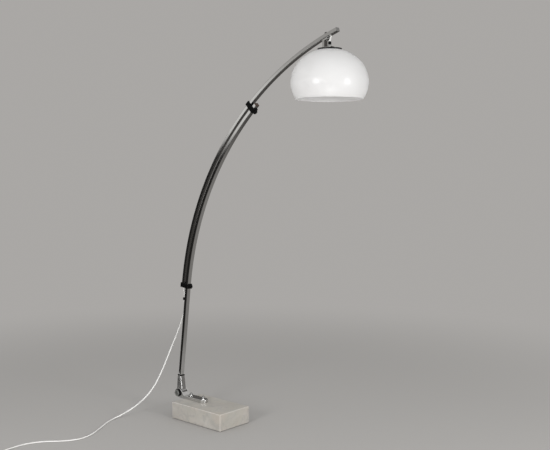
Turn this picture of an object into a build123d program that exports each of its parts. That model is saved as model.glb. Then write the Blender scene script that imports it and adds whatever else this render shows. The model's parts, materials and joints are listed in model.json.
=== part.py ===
from build123d import *
import math
import os

# Stone block: long side along X, resting on felt at Z = 0, centred on the origin
block_length = 300
block_width = 175
block_height = 71
block_chamfer = 2.5
felt_thickness = 2
felt_inset = 6

# Foot bar on the block, its two studs, and the hinge ears past the block's end
bar_width = 40
bar_height = 14
bar_overhang = 15
bar_edge = 2
rear_stud_inset = 29
stud_spacing = 77
stud_radius = 4
stud_head_radius = 7.5
stud_head_height = 5.3
stud_washer_radius = 8.5
stud_washer_thickness = 1.6
stud_well_spare = 1.1
stud_well_radius = 11
nut_radius = 7.5
nut_height = 6.5
dome_radius = 6

# Hinge between foot bar and arm, with its axis along Y
hinge_overhang = 34
hinge_rise = 21
ear_radius = 20
knuckle_radius = 21
knuckle_width = 25
hinge_washer_thickness = 1.5
hinge_washer_radius = 15
hinge_bolt_radius = 5
hinge_head_radius = 9.5
hinge_head_height = 6
wheel_radius = 15.6
wheel_thickness = 7
wheel_flutes = 12
flute_radius = 2.3
wheel_cap_radius = 13.6
wheel_cap_thickness = 3
wheel_cap_bore = 6.5

# Arm: a straight run that leans forward, then two tubes bent about one centre
lean = 7
arm_setback = 12
straight_run = 486.5
lower_radius = 1214
tube_depth = 15
tube_width = 20
tube_wall = 1.2
tube_corner = 1.8
tube_gap = 9
tube_seat = 30
socket_neck = 4
socket_length = 75
socket_root_depth = 38
socket_root_shift = 10
socket_top_depth = 20
socket_corner = 3
collar_depth = 21
collar_width = 26
collar_height = 3.5
socket_screw_radius = 2
socket_screw_head = 4
socket_screw_head_height = 2.2
socket_screw_drop = 11
plug_face = 3
plug_spigot = 12

# Clamps that hold the two tubes side by side, with thumb knobs on the inner side
lower_clamp_angle = 7
upper_clamp_angle = 48.25
slide_travel = 20
clamp_wall = 6
clamp_side = 4
clamp_length = 20
clamp_corner = 5
clamp_edge = 1.2
lower_tube_overrun = 15
clamp_screw_radius = 3
knob_radius = 9
knob_thickness = 7
knob_lobes = 8
knob_notch_radius = 2
knob_socket = 4.5

# Upper tube's tip and the bolt on which the lamp head swivels
tip_angle = 72
head_bolt_angle = 69.6
head_bolt_radius = 2.5
head_bolt_head_radius = 5.2
head_bolt_head_height = 5.5
swivel_washer_radius = 8.5
swivel_washer_thickness = 1.5
lead_hole_angle = 70.24
lead_hole_clearance = 0.8
lead_side = 5.6
lead_start_angle = 66
lead_bend_angle = 68.75
lead_run = 30
lead_exit = 3
lead_drop = 5

# Head bracket, shade and lamp holder on one upright axis
head_offset = 11.1
leg_offset = 11.7
head_drop = 38.1
leg_thickness = 9.5
bracket_width = 20.4
flange_thickness = 7
flange_reach = 4.5
foot_thickness = 5
foot_reach = 14
shade_radius = 146
shade_half_height = 125
shade_wall = 3
shade_rim_drop = 63.6
shade_crown_drop = 6.5
shade_top_thickness = 3.5
cap_radius = 45.5
cap_edge = 5.5
cap_rise = 2
cap_crown_radius = 14
nipple_radius = 5
nipple_bore = 3.6
nipple_rise = 13
nipple_nut_radius = 8
nipple_nut_height = 4
grip_radius = 6
grip_height = 11
grip_socket = 5
seat_washer_radius = 20
seat_washer_thickness = 2
holder_radius = 19.5
holder_height = 55
holder_roof = 4
insert_height = 18
shell_wall = 0.9
shell_height = 22
contact_radius = 4
contact_height = 3.4
bulb_cap_radius = 13.2
bulb_cap_height = 25
bulb_neck_height = 10
bulb_radius = 30
bulb_length = 80
bulb_wall = 0.9
wire_radius = 1.2
wire_spread = 1.7

# Mains cord, its clip on the arm, and the coil, tie and plug at its far end
cord_radius = 2.8
bend_share = 0.45
clip_drop = 61.5
clip_height = 10
clip_wall = 3
clip_side = 3.7
clip_gap = 4
clip_corner = 0.6
cord_drop_run = 14
cord_spare_angle = 1
cord_floor_gap = 0.2
coil_centre = (-250, -858)
coil_start_angle = 205
coil_inner_radius = 20.2
coil_side_gap = 0.6
coil_layer_gap = 0.5
coil_floor_gap = 0.9
coil_turns_in = 3.25
coil_turns_out = 3
coil_lead_run = 34
coil_tail_run = 22
tie_width = 6
tie_thickness = 0.5
tie_gap = 0.5
tie_turn = 1.5
relief_wall = 1.2
relief_length = 24
relief_radius = 5
plug_width = 36
plug_length = 36
plug_shoulder = 14
plug_pin_radius = 2.4
plug_pin_length = 19
plug_pin_spacing = 19
plug_pin_chamfer = 1

# Clearances
running_fit = 0.05
running_gap = 0.3
sliding_gap = 0.3
bore_clearance = 0.25
cord_clearance = 0.5

base_top = felt_thickness + block_height
bar_top = base_top + bar_height
rear_stud_x = -block_length / 2 + rear_stud_inset
front_stud_x = rear_stud_x + stud_spacing
stud_positions = [(front_stud_x, 0), (rear_stud_x, 0)]
hinge_x = -block_length / 2 - hinge_overhang
hinge_z = base_top + hinge_rise
stud_seat = felt_thickness + stud_head_height + stud_washer_thickness + stud_well_spare
ear_gap = knuckle_width + 2 * (hinge_washer_thickness + running_gap)
tube_pitch = tube_depth + tube_gap
upper_radius = lower_radius + tube_pitch
middle_radius = lower_radius + tube_pitch / 2
bore_depth = tube_depth - 2 * tube_wall
bore_width = tube_width - 2 * tube_wall
bore_corner = tube_corner - tube_wall
clamp_depth = tube_depth + tube_pitch + 2 * clamp_wall
clamp_width = tube_width + 2 * clamp_side
clamp_inner_radius = middle_radius - clamp_depth / 2


def along(angle):
    turn = math.radians(angle)
    return Vector(math.sin(turn), 0, math.cos(turn))


def inward(angle):
    turn = math.radians(angle)
    return Vector(math.cos(turn), 0, -math.sin(turn))


def arc_angle(length, radius):
    return math.degrees(length / radius)


hinge = Vector(hinge_x, 0, hinge_z)
arm_foot = hinge - inward(lean) * arm_setback
arm = Plane(origin=arm_foot, x_dir=inward(lean), z_dir=along(lean))
arc_centre = arm_foot + along(lean) * straight_run + inward(lean) * lower_radius
arc_axis = Axis(arc_centre, (0, 1, 0))


# Plane across the arc at an angle above its level radius: local X runs inward, local Y sideways
def station(angle, radius):
    return Plane(origin=arc_centre - inward(angle) * radius, x_dir=inward(angle), z_dir=along(angle))


# Plane whose normal points inward along the arc's radius, with local X sideways
def radial(angle, radius):
    return Plane(origin=arc_centre - inward(angle) * radius, x_dir=(0, 1, 0), z_dir=inward(angle))


# Plane across the hinge axis at a given Y, facing the near side
def hinge_plane(y):
    return Plane(origin=(hinge_x, y, hinge_z), x_dir=(1, 0, 0), z_dir=(0, -1, 0))


def finish(part, label):
    part.label = label
    export_step(part, f"parts/{label}.step")


os.makedirs("parts", exist_ok=True)

with BuildPart() as marble_block:
    with BuildSketch(Plane.XY.offset(felt_thickness)):
        Rectangle(block_length, block_width)
    extrude(amount=block_height)
    chamfer(marble_block.edges(), block_chamfer)
    with BuildSketch(Plane.XY.offset(felt_thickness)):
        with Locations(*stud_positions):
            Circle(stud_radius + bore_clearance)
    extrude(amount=block_height, mode=Mode.SUBTRACT)
    with BuildSketch(Plane.XY.offset(felt_thickness)):
        with Locations(*stud_positions):
            Circle(stud_well_radius)
    extrude(amount=stud_seat - felt_thickness, mode=Mode.SUBTRACT)
finish(marble_block.part, "marble_block")

with BuildPart() as base_felt:
    with BuildSketch():
        Rectangle(block_length - 2 * felt_inset, block_width - 2 * felt_inset)
    extrude(amount=felt_thickness)
finish(base_felt.part, "base_felt")

bar_back = -block_length / 2 - bar_overhang
with BuildPart() as foot_bar:
    with BuildSketch(Plane.XY.offset(base_top)):
        with Locations(((bar_back + front_stud_x) / 2, 0)):
            Rectangle(front_stud_x - bar_back, bar_width)
        with Locations((front_stud_x, 0)):
            Circle(bar_width / 2)
    extrude(amount=bar_height)
    fillet(foot_bar.edges().group_by(Axis.Z)[-1], bar_edge)
    with BuildSketch(Plane.XZ):
        with Locations((hinge_x, hinge_z)):
            Circle(ear_radius)
        with Locations((bar_back + bar_overhang / 2, base_top + bar_height / 2)):
            Rectangle(bar_overhang, bar_height)
        make_hull()
    extrude(amount=bar_width / 2, both=True)
    slot_end = hinge_x + knuckle_radius + bar_edge
    with BuildSketch(Plane.XY.offset(base_top)):
        with Locations((slot_end - ear_radius - knuckle_radius, 0)):
            Rectangle(2 * (ear_radius + knuckle_radius), ear_gap)
    extrude(amount=hinge_z + ear_radius - base_top, mode=Mode.SUBTRACT)
    with BuildSketch(hinge_plane(bar_width / 2)):
        Circle(hinge_bolt_radius + running_fit)
    extrude(amount=bar_width, mode=Mode.SUBTRACT)
    with BuildSketch(Plane.XY.offset(base_top)):
        with Locations(*stud_positions):
            Circle(stud_radius + bore_clearance)
    extrude(amount=bar_height, mode=Mode.SUBTRACT)
finish(foot_bar.part, "foot_bar")

stud_head_bottom = stud_seat - stud_washer_thickness - stud_head_height
stud_nut_bottom = bar_top + stud_washer_thickness
with BuildPart() as base_studs:
    with BuildSketch(Plane.XY.offset(stud_head_bottom)):
        with Locations(*stud_positions):
            RegularPolygon(stud_head_radius, 6)
    extrude(amount=stud_head_height)
    with BuildSketch(Plane.XY.offset(stud_head_bottom + stud_head_height)):
        with Locations(*stud_positions):
            Circle(stud_radius)
    extrude(amount=stud_nut_bottom + nut_height - stud_head_bottom - stud_head_height)
finish(base_studs.part, "base_studs")

with BuildPart() as stud_washers:
    for washer_bottom in (stud_seat - stud_washer_thickness, bar_top):
        with BuildSketch(Plane.XY.offset(washer_bottom)):
            with Locations(*stud_positions):
                Circle(stud_washer_radius)
                Circle(stud_radius + running_fit, mode=Mode.SUBTRACT)
        extrude(amount=stud_washer_thickness)
finish(stud_washers.part, "stud_washers")

with BuildPart() as dome_nuts:
    with BuildSketch(Plane.XY.offset(stud_nut_bottom)):
        with Locations(*stud_positions):
            RegularPolygon(nut_radius, 6)
    extrude(amount=nut_height)
    with Locations(*[(x, y, stud_nut_bottom + nut_height) for x, y in stud_positions]):
        Sphere(dome_radius, arc_size1=0, align=(Align.CENTER, Align.CENTER, Align.MIN))
    with BuildSketch(Plane.XY.offset(stud_nut_bottom)):
        with Locations(*stud_positions):
            Circle(stud_radius + running_fit)
    extrude(amount=nut_height + running_fit, mode=Mode.SUBTRACT)
finish(dome_nuts.part, "dome_nuts")

wheel_back = -bar_width / 2 - running_gap
bolt_end = wheel_back - wheel_thickness - wheel_cap_thickness / 2
with BuildPart() as hinge_bolt:
    with BuildSketch(hinge_plane(bar_width / 2 + hinge_head_height)):
        RegularPolygon(hinge_head_radius, 6)
    extrude(amount=hinge_head_height)
    with BuildSketch(hinge_plane(bar_width / 2)):
        Circle(hinge_bolt_radius)
    extrude(amount=bar_width / 2 - bolt_end)
finish(hinge_bolt.part, "hinge_bolt")

with BuildPart() as hinge_washers:
    for washer_top in (ear_gap / 2, -ear_gap / 2 + hinge_washer_thickness):
        with BuildSketch(hinge_plane(washer_top)):
            Circle(hinge_washer_radius)
            Circle(hinge_bolt_radius + running_fit, mode=Mode.SUBTRACT)
        extrude(amount=hinge_washer_thickness)
finish(hinge_washers.part, "hinge_washers")

with BuildPart() as hand_wheel:
    with BuildSketch(hinge_plane(wheel_back)):
        Circle(wheel_radius)
        with PolarLocations(wheel_radius + flute_radius / 2, wheel_flutes):
            Circle(flute_radius, mode=Mode.SUBTRACT)
        Circle(hinge_bolt_radius + running_fit, mode=Mode.SUBTRACT)
    extrude(amount=wheel_thickness)
finish(hand_wheel.part, "hand_wheel")

with BuildPart() as wheel_cap:
    with BuildSketch(hinge_plane(wheel_back - wheel_thickness)):
        Circle(wheel_cap_radius)
        Circle(wheel_cap_bore, mode=Mode.SUBTRACT)
    extrude(amount=wheel_cap_thickness)
    chamfer(wheel_cap.edges().group_by(Axis.Y)[0], wheel_cap_thickness / 4)
finish(wheel_cap.part, "wheel_cap")

socket_screw_height = socket_length - socket_screw_drop
screw_face = knuckle_width / 2
screw_hole = socket_screw_radius + running_fit
screw_plane = Plane(origin=arm.origin + along(lean) * socket_screw_height, z_dir=(0, 1, 0))
with BuildPart() as tube_socket:
    with BuildSketch(arm.offset(socket_neck)):
        with Locations((socket_root_shift, 0)):
            RectangleRounded(socket_root_depth, knuckle_width, socket_corner)
    with BuildSketch(arm.offset(socket_length)):
        RectangleRounded(socket_top_depth, knuckle_width, socket_corner)
    loft(ruled=True)
    with BuildSketch(hinge_plane(knuckle_width / 2)):
        Circle(knuckle_radius)
    extrude(amount=knuckle_width)
    with BuildSketch(arm.offset(tube_seat)):
        RectangleRounded(tube_depth + 2 * running_fit, tube_width + 2 * running_fit, tube_corner)
    extrude(amount=socket_length - tube_seat, mode=Mode.SUBTRACT)
    with BuildSketch(hinge_plane(knuckle_width / 2)):
        Circle(hinge_bolt_radius + running_fit)
    extrude(amount=knuckle_width, mode=Mode.SUBTRACT)
    with BuildSketch(screw_plane):
        Circle(screw_hole)
    extrude(amount=screw_face, both=True, mode=Mode.SUBTRACT)
finish(tube_socket.part, "tube_socket")

with BuildPart() as socket_collar:
    with BuildSketch(arm.offset(socket_length)):
        RectangleRounded(collar_depth, collar_width, socket_corner)
        RectangleRounded(
            tube_depth + 2 * running_fit, tube_width + 2 * running_fit, tube_corner, mode=Mode.SUBTRACT
        )
    extrude(amount=collar_height)
finish(socket_collar.part, "socket_collar")

with BuildPart() as socket_screws:
    for side in (1, -1):
        with BuildSketch(screw_plane.offset(side * screw_face)):
            Circle(socket_screw_head)
        extrude(amount=side * socket_screw_head_height)
        with BuildSketch(screw_plane.offset(side * screw_face)):
            Circle(socket_screw_radius)
        extrude(amount=-side * (screw_face - bore_width / 2 + tube_wall))
finish(socket_screws.part, "socket_screws")

lower_end_angle = upper_clamp_angle + arc_angle(clamp_length / 2 + lower_tube_overrun, lower_radius)
upper_start_angle = lower_clamp_angle - arc_angle(clamp_length / 2, middle_radius)


def tube_section():
    RectangleRounded(tube_depth, tube_width, tube_corner)
    RectangleRounded(bore_depth, bore_width, bore_corner, mode=Mode.SUBTRACT)


with BuildPart() as lower_tube:
    with BuildSketch(station(lean, lower_radius)):
        tube_section()
    revolve(axis=arc_axis, revolution_arc=lower_end_angle - lean)
    with BuildSketch(arm.offset(tube_seat)):
        tube_section()
    extrude(amount=straight_run - tube_seat)
    with BuildSketch(screw_plane):
        Circle(screw_hole)
    extrude(amount=tube_width, both=True, mode=Mode.SUBTRACT)
    with BuildSketch(radial(upper_clamp_angle, lower_radius)):
        Circle(clamp_screw_radius + bore_clearance)
    extrude(amount=tube_depth, both=True, mode=Mode.SUBTRACT)
finish(lower_tube.part, "lower_tube")

with BuildPart() as upper_tube:
    with BuildSketch(station(upper_start_angle, upper_radius)):
        tube_section()
    revolve(axis=arc_axis, revolution_arc=tip_angle - upper_start_angle)
    with BuildSketch(radial(head_bolt_angle, upper_radius)):
        Circle(head_bolt_radius + running_fit)
    extrude(amount=tube_depth, both=True, mode=Mode.SUBTRACT)
    with BuildSketch(radial(lead_hole_angle, upper_radius)):
        with Locations((lead_side, 0)):
            Circle(cord_radius + lead_hole_clearance)
    extrude(amount=tube_depth, mode=Mode.SUBTRACT)
finish(upper_tube.part, "upper_tube")


# Plug closing a tube's upper end: a face as large as the tube, and a spigot in its bore
def end_plug(angle, radius):
    with BuildPart() as plug:
        with BuildSketch(station(angle, radius)):
            RectangleRounded(tube_depth, tube_width, tube_corner)
        extrude(amount=plug_face)
        with BuildSketch(station(angle, radius)):
            RectangleRounded(bore_depth - 2 * bore_clearance, bore_width - 2 * bore_clearance, bore_corner)
        extrude(amount=-plug_spigot)
    return plug.part


finish(end_plug(lower_end_angle, lower_radius), "lower_tube_plug")
finish(end_plug(tip_angle, upper_radius), "tip_plug")


# Block round both tubes, with its thumb screw's hole running inward from a given radius
def clamp_block(angle, outer_gap, inner_gap, screw_from):
    with BuildPart() as clamp:
        with BuildSketch(station(angle, middle_radius).offset(-clamp_length / 2)):
            RectangleRounded(clamp_depth, clamp_width, clamp_corner)
        extrude(amount=clamp_length)
        chamfer(clamp.faces().filter_by(station(angle, middle_radius)).edges(), clamp_edge)
        for across, gap in ((-tube_pitch / 2, outer_gap), (tube_pitch / 2, inner_gap)):
            with BuildSketch(station(angle, middle_radius)):
                with Locations((across, 0)):
                    RectangleRounded(tube_depth + 2 * gap, tube_width + 2 * gap, tube_corner)
            extrude(amount=clamp_length, both=True, mode=Mode.SUBTRACT)
        with BuildSketch(radial(angle, screw_from)):
            Circle(clamp_screw_radius + running_fit)
        extrude(amount=screw_from - clamp_inner_radius, mode=Mode.SUBTRACT)
    return clamp.part


knob_face_radius = clamp_inner_radius - running_gap


def clamp_screw(angle, tip_radius):
    with BuildPart() as screw:
        with BuildSketch(radial(angle, tip_radius)):
            Circle(clamp_screw_radius)
        extrude(amount=tip_radius - knob_face_radius + knob_socket)
    return screw.part


def clamp_knob(angle):
    with BuildPart() as knob:
        with BuildSketch(radial(angle, knob_face_radius)):
            Circle(knob_radius)
            with PolarLocations(knob_radius + knob_notch_radius / 2, knob_lobes):
                Circle(knob_notch_radius, mode=Mode.SUBTRACT)
        extrude(amount=knob_thickness)
        with BuildSketch(radial(angle, knob_face_radius)):
            Circle(clamp_screw_radius + running_fit)
        extrude(amount=knob_socket, mode=Mode.SUBTRACT)
    return knob.part


upper_tube_inside = upper_radius - tube_depth / 2
lower_tube_inside = lower_radius - tube_depth / 2
finish(clamp_block(upper_clamp_angle, sliding_gap, running_fit, upper_tube_inside), "upper_clamp")
finish(clamp_screw(upper_clamp_angle, upper_tube_inside - running_gap), "upper_clamp_screw")
finish(clamp_knob(upper_clamp_angle), "upper_clamp_knob")
finish(clamp_block(lower_clamp_angle, running_fit, sliding_gap, lower_tube_inside), "lower_clamp")
finish(clamp_screw(lower_clamp_angle, lower_tube_inside - running_gap), "lower_clamp_screw")
finish(clamp_knob(lower_clamp_angle), "lower_clamp_knob")

with BuildPart() as cord_bush:
    with BuildSketch(station(upper_start_angle, upper_radius)):
        RectangleRounded(bore_depth - 2 * bore_clearance, bore_width - 2 * bore_clearance, bore_corner)
        Circle(cord_radius + cord_clearance, mode=Mode.SUBTRACT)
    extrude(amount=plug_spigot)
finish(cord_bush.part, "cord_bush")

swivel_seat = upper_tube_inside - running_fit - swivel_washer_thickness - running_fit
with BuildPart() as head_bolt:
    with BuildSketch(radial(head_bolt_angle, upper_radius + tube_depth / 2 + head_bolt_head_height)):
        RegularPolygon(head_bolt_head_radius, 6)
    extrude(amount=head_bolt_head_height)
    with BuildSketch(radial(head_bolt_angle, upper_radius + tube_depth / 2)):
        Circle(head_bolt_radius)
    extrude(amount=upper_radius + tube_depth / 2 - swivel_seat + flange_thickness)
finish(head_bolt.part, "head_bolt")

with BuildPart() as swivel_washer:
    with BuildSketch(radial(head_bolt_angle, upper_tube_inside - running_fit)):
        Circle(swivel_washer_radius)
        Circle(head_bolt_radius + running_fit, mode=Mode.SUBTRACT)
    extrude(amount=swivel_washer_thickness)
finish(swivel_washer.part, "swivel_washer")

seat = station(head_bolt_angle, swivel_seat)
head_x = seat.origin.X + head_offset
leg_x = seat.origin.X - leg_offset
cap_top = seat.origin.Z - head_drop
shade_top = cap_top - cap_rise - cap_edge
shade_top_rise = shade_half_height - shade_crown_drop
shade_centre_z = shade_top - shade_top_rise
flange_back = (leg_x - leg_thickness / 2 - seat.origin.X) / along(head_bolt_angle).X
flange_middle = (flange_back + flange_reach) / 2
flange_spot = seat.origin + along(head_bolt_angle) * flange_middle
flange_spot += inward(head_bolt_angle) * flange_thickness / 2
leg_top = seat.origin.Z + along(head_bolt_angle).Z * flange_back - flange_thickness / 2
foot_back = leg_x - leg_thickness / 2
foot_front = head_x + foot_reach
with BuildPart() as head_bracket:
    with BuildSketch(Plane.XZ):
        with Locations(((foot_back + foot_front) / 2, cap_top + foot_thickness / 2)):
            Rectangle(foot_front - foot_back, foot_thickness)
        with Locations((leg_x, (cap_top + leg_top) / 2)):
            Rectangle(leg_thickness, leg_top - cap_top)
        with Locations((flange_spot.X, flange_spot.Z)):
            Rectangle(flange_reach - flange_back, flange_thickness, rotation=90 - head_bolt_angle)
    extrude(amount=bracket_width / 2, both=True)
    with BuildSketch(radial(head_bolt_angle, swivel_seat)):
        Circle(head_bolt_radius + running_fit)
    extrude(amount=2 * flange_thickness, mode=Mode.SUBTRACT)
    with BuildSketch(Plane.XY.offset(cap_top)):
        with Locations((head_x, 0)):
            Circle(nipple_radius + running_fit)
    extrude(amount=foot_thickness, mode=Mode.SUBTRACT)
finish(head_bracket.part, "head_bracket")

# Turned pieces of the head share one upright half plane: local X is the radius, local Y the height
head_plane = Plane(origin=(head_x, 0, 0), x_dir=(1, 0, 0), z_dir=(0, -1, 0))
head_axis = Axis((head_x, 0, 0), (0, 0, 1))


# Ring about the head's axis, from its bottom height upward
def head_ring(bottom, height, outer, inner):
    with BuildPart() as ring:
        with BuildSketch(Plane(origin=(head_x, 0, bottom))):
            Circle(outer)
            Circle(inner, mode=Mode.SUBTRACT)
        extrude(amount=height)
    return ring.part


with BuildPart() as shade_cap:
    with BuildSketch(head_plane):
        with BuildLine():
            Polyline(
                (nipple_radius + running_fit, cap_top),
                (nipple_radius + running_fit, shade_top),
                (cap_radius, shade_top),
                (cap_radius, shade_top + cap_edge),
            )
            ThreePointArc(
                (cap_radius, shade_top + cap_edge),
                ((cap_radius + cap_crown_radius) / 2, cap_top - cap_rise / 4),
                (cap_crown_radius, cap_top),
            )
            Line((cap_crown_radius, cap_top), (nipple_radius + running_fit, cap_top))
        make_face()
    revolve(axis=head_axis)
finish(shade_cap.part, "shade_cap")


# Angle on an ellipse at a given height above its centre
def ellipse_angle(rise, half_height):
    return math.degrees(math.asin(rise / half_height))


inner_radius = shade_radius - shade_wall
inner_half_height = shade_half_height - shade_wall
shade_ceiling = shade_top_rise - shade_top_thickness
outer_low = ellipse_angle(-shade_rim_drop, shade_half_height)
outer_high = ellipse_angle(shade_top_rise, shade_half_height)
inner_low = ellipse_angle(-shade_rim_drop, inner_half_height)
inner_high = ellipse_angle(shade_ceiling, inner_half_height)
shade_bore = nipple_radius + bore_clearance
with BuildPart() as shade:
    with BuildSketch(head_plane):
        with BuildLine():
            outside = EllipticalCenterArc(
                (0, shade_centre_z),
                shade_radius,
                shade_half_height,
                outer_low,
                arc_size=outer_high - outer_low,
            )
            inside = EllipticalCenterArc(
                (0, shade_centre_z),
                inner_radius,
                inner_half_height,
                inner_low,
                arc_size=inner_high - inner_low,
            )
            Polyline(
                outside @ 1,
                (shade_bore, shade_top),
                (shade_bore, shade_centre_z + shade_ceiling),
                inside @ 1,
            )
            Line(inside @ 0, outside @ 0)
        make_face()
    revolve(axis=head_axis)
finish(shade.part, "shade")

foot_top = cap_top + foot_thickness
washer_bottom = shade_centre_z + shade_ceiling - seat_washer_thickness
holder_top = washer_bottom - nipple_nut_height
holder_bottom = holder_top - holder_height
nipple_top = foot_top + nipple_rise
grip_top = nipple_top - grip_socket + grip_height
finish(head_ring(washer_bottom, seat_washer_thickness, seat_washer_radius, shade_bore), "seat_washer")
nipple_bottom = holder_top - holder_roof
finish(head_ring(nipple_bottom, nipple_top - nipple_bottom, nipple_radius, nipple_bore), "nipple")

with BuildPart() as nipple_nuts:
    for nut_bottom in (foot_top, holder_top):
        with BuildSketch(Plane(origin=(head_x, 0, nut_bottom))):
            RegularPolygon(nipple_nut_radius, 6)
            Circle(nipple_radius + running_fit, mode=Mode.SUBTRACT)
        extrude(amount=nipple_nut_height)
finish(nipple_nuts.part, "nipple_nuts")

with BuildPart() as cord_grip:
    with BuildSketch(Plane(origin=(head_x, 0, grip_top - grip_height))):
        Circle(grip_radius)
    extrude(amount=grip_height)
    chamfer(cord_grip.edges().group_by(Axis.Z)[-1], grip_radius / 4)
    with BuildSketch(Plane(origin=(head_x, 0, grip_top - grip_height))):
        Circle(nipple_radius + running_fit)
    extrude(amount=grip_socket, mode=Mode.SUBTRACT)
    with BuildSketch(Plane(origin=(head_x, 0, nipple_top))):
        Circle(cord_radius + running_fit)
    extrude(amount=grip_height, mode=Mode.SUBTRACT)
finish(cord_grip.part, "cord_grip")

shell_inner = bulb_cap_radius + running_fit * 2
shell_outer = shell_inner + shell_wall
cavity_radius = shell_outer + running_fit
with BuildPart() as holder_body:
    with BuildSketch(Plane(origin=(head_x, 0, holder_bottom))):
        Circle(holder_radius)
    extrude(amount=holder_height)
    fillet(holder_body.edges().group_by(Axis.Z)[-1], holder_roof / 2)
    with BuildSketch(Plane(origin=(head_x, 0, holder_bottom))):
        Circle(cavity_radius)
    extrude(amount=holder_height - holder_roof, mode=Mode.SUBTRACT)
    with BuildSketch(Plane(origin=(head_x, 0, holder_bottom))):
        Circle(nipple_radius + running_fit)
    extrude(amount=holder_height, mode=Mode.SUBTRACT)
finish(holder_body.part, "holder_body")

insert_bottom = holder_top - holder_roof - insert_height
bulb_cap_top = insert_bottom - contact_height - running_gap
bulb_cap_bottom = bulb_cap_top - bulb_cap_height
finish(head_ring(insert_bottom, insert_height, shell_outer, nipple_bore), "holder_insert")
finish(head_ring(insert_bottom - shell_height, shell_height, shell_outer, shell_inner), "holder_shell")

with BuildPart() as centre_contact:
    with BuildSketch(Plane(origin=(head_x, 0, insert_bottom))):
        Circle(contact_radius)
    extrude(amount=-contact_height)
finish(centre_contact.part, "centre_contact")

with BuildPart() as holder_wires:
    with BuildSketch(Plane(origin=(head_x, 0, insert_bottom + running_fit))):
        with Locations((wire_spread, 0), (-wire_spread, 0)):
            Circle(wire_radius)
    extrude(amount=nipple_top - insert_bottom - running_fit)
finish(holder_wires.part, "holder_wires")

with BuildPart() as bulb_cap:
    with BuildSketch(Plane(origin=(head_x, 0, bulb_cap_bottom))):
        Circle(bulb_cap_radius)
    extrude(amount=bulb_cap_height)
    chamfer(bulb_cap.edges().group_by(Axis.Z)[-1], bulb_cap_radius / 3)
finish(bulb_cap.part, "bulb_cap")

# Bulb: a straight neck, a cone, and a globe that the cone touches smoothly
neck_bottom = bulb_cap_bottom - bulb_neck_height
globe_z = bulb_cap_bottom - bulb_length + bulb_radius
neck_distance = math.hypot(bulb_cap_radius, neck_bottom - globe_z)
touch = math.atan2(neck_bottom - globe_z, bulb_cap_radius) - math.acos(bulb_radius / neck_distance)


def globe_point(angle, shrink):
    reach = bulb_radius - shrink
    return (reach * math.cos(angle), globe_z + reach * math.sin(angle))


with BuildPart() as bulb_glass:
    with BuildSketch(head_plane):
        with BuildLine():
            Polyline(
                globe_point(touch, bulb_wall),
                (bulb_cap_radius - bulb_wall, neck_bottom),
                (bulb_cap_radius - bulb_wall, bulb_cap_bottom),
                (bulb_cap_radius, bulb_cap_bottom),
                (bulb_cap_radius, neck_bottom),
                globe_point(touch, 0),
            )
            for shrink in (0, bulb_wall):
                ThreePointArc(
                    globe_point(touch, shrink),
                    globe_point((touch - math.pi / 2) / 2, shrink),
                    globe_point(-math.pi / 2, shrink),
                )
            Line(globe_point(-math.pi / 2, 0), globe_point(-math.pi / 2, bulb_wall))
        make_face()
    revolve(axis=head_axis)
finish(bulb_glass.part, "bulb_glass")


# Bend radii as large as the runs on each side of a point allow
def bend_radii(points):
    radii = []
    for before, corner, after in zip(points, points[1:], points[2:]):
        arriving = corner - before
        leaving = after - corner
        half_turn = math.radians(arriving.get_angle(leaving)) / 2
        radii.append(bend_share * min(arriving.length, leaving.length) / math.tan(half_turn))
    return radii


# Round cord of straight runs and tangent bends, after an optional leading arc
def cord_tube(name, points, first_arc=None):
    radii = bend_radii(points)
    with BuildPart() as tube:
        with BuildLine() as path:
            if first_arc:
                ThreePointArc(*first_arc, points[0])
            FilletPolyline(*points, radius=radii)
        with BuildSketch(Plane(origin=path.wire() @ 0, z_dir=path.wire() % 0)):
            Circle(cord_radius)
        sweep()
    length = path.wire().length
    expected = math.pi * cord_radius**2 * length
    print(f"{name}: length {length:.0f} mm, volume ratio {tube.part.volume / expected:.4f}")
    print(f"{name}: bend radii", [round(radius, 1) for radius in radii])
    return tube.part


# Cord inside the upper tube: the lower end stays with the arm as the tube slides up along it
cord_top_angle = lower_clamp_angle + slide_travel + cord_spare_angle
cable_bottom_angle = cord_top_angle + cord_spare_angle
clip_across = -tube_depth / 2 - clip_gap - cord_radius
clip_reach = clip_gap + 2 * cord_radius + clip_wall
clip_width = 2 * (cord_radius + clip_side)
clip_centre = straight_run - clip_drop
clip_bottom = clip_centre - clip_height / 2


def arm_point(across, height):
    return arm_foot + inward(lean) * across + along(lean) * height


arc_end = arm_point(-tube_pitch, straight_run)
bush_drop = max(0, math.radians(lean - upper_start_angle)) * upper_radius
arm_cord_points = [
    arc_end,
    arm_point(-tube_pitch, straight_run - bush_drop - cord_drop_run),
    arm_point(clip_across, clip_centre + cord_drop_run),
    arm_point(clip_across, clip_bottom),
]
arm_cord_arc = (
    station(cord_top_angle, upper_radius).origin,
    station((cord_top_angle + lean) / 2, upper_radius).origin,
)
finish(cord_tube("arm_cord", arm_cord_points, arm_cord_arc), "arm_cord")

with BuildPart() as cord_clip:
    with BuildSketch(arm.offset(clip_bottom)):
        with Locations((-tube_depth / 2 - clip_reach / 2, 0)):
            RectangleRounded(clip_reach, clip_width, clip_corner)
        with Locations((clip_across, 0)):
            Circle(cord_radius + running_fit, mode=Mode.SUBTRACT)
    extrude(amount=clip_height)
finish(cord_clip.part, "cord_clip")

with BuildPart() as inner_cable:
    with BuildSketch(station(cable_bottom_angle, upper_radius)):
        Circle(cord_radius)
    revolve(axis=arc_axis, revolution_arc=lead_start_angle - cable_bottom_angle)
finish(inner_cable.part, "inner_cable")


def beside(angle, side):
    return station(angle, upper_radius).origin + Vector(0, side, 0)


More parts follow.
